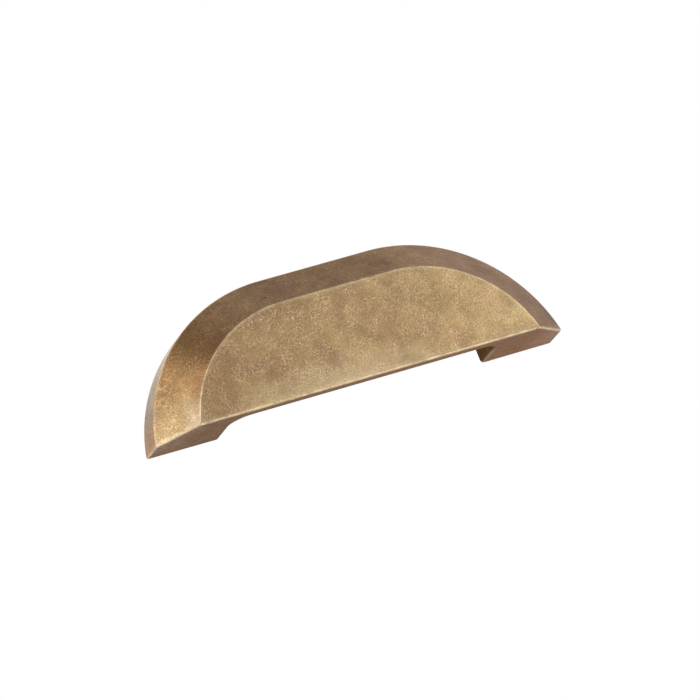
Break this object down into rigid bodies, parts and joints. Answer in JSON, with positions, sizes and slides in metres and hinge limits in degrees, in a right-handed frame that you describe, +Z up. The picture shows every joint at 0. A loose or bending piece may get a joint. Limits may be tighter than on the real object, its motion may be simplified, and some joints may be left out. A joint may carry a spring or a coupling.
{
  "type": "cup pull",
  "caption": "Half-round cast brass cup pull for a drawer, with a flat bevelled front, solid feet and a finger recess open below and behind.",
  "frame": {"origin": "midpoint between the two screw holes, on the flat back", "axes": "+X along the length, +Y out of the back towards the drawer front, +Z up; the front looks along -Y and the finger recess opens along -Z"},
  "size_m": [0.1198, 0.0193, 0.0357],
  "materials": {
    "antique_brass": "aged and mottled, with rubbed edges"
  },
  "bodies": {
    "root": {"cup_pull": "antique_brass"}
  },
  "joints": []
}
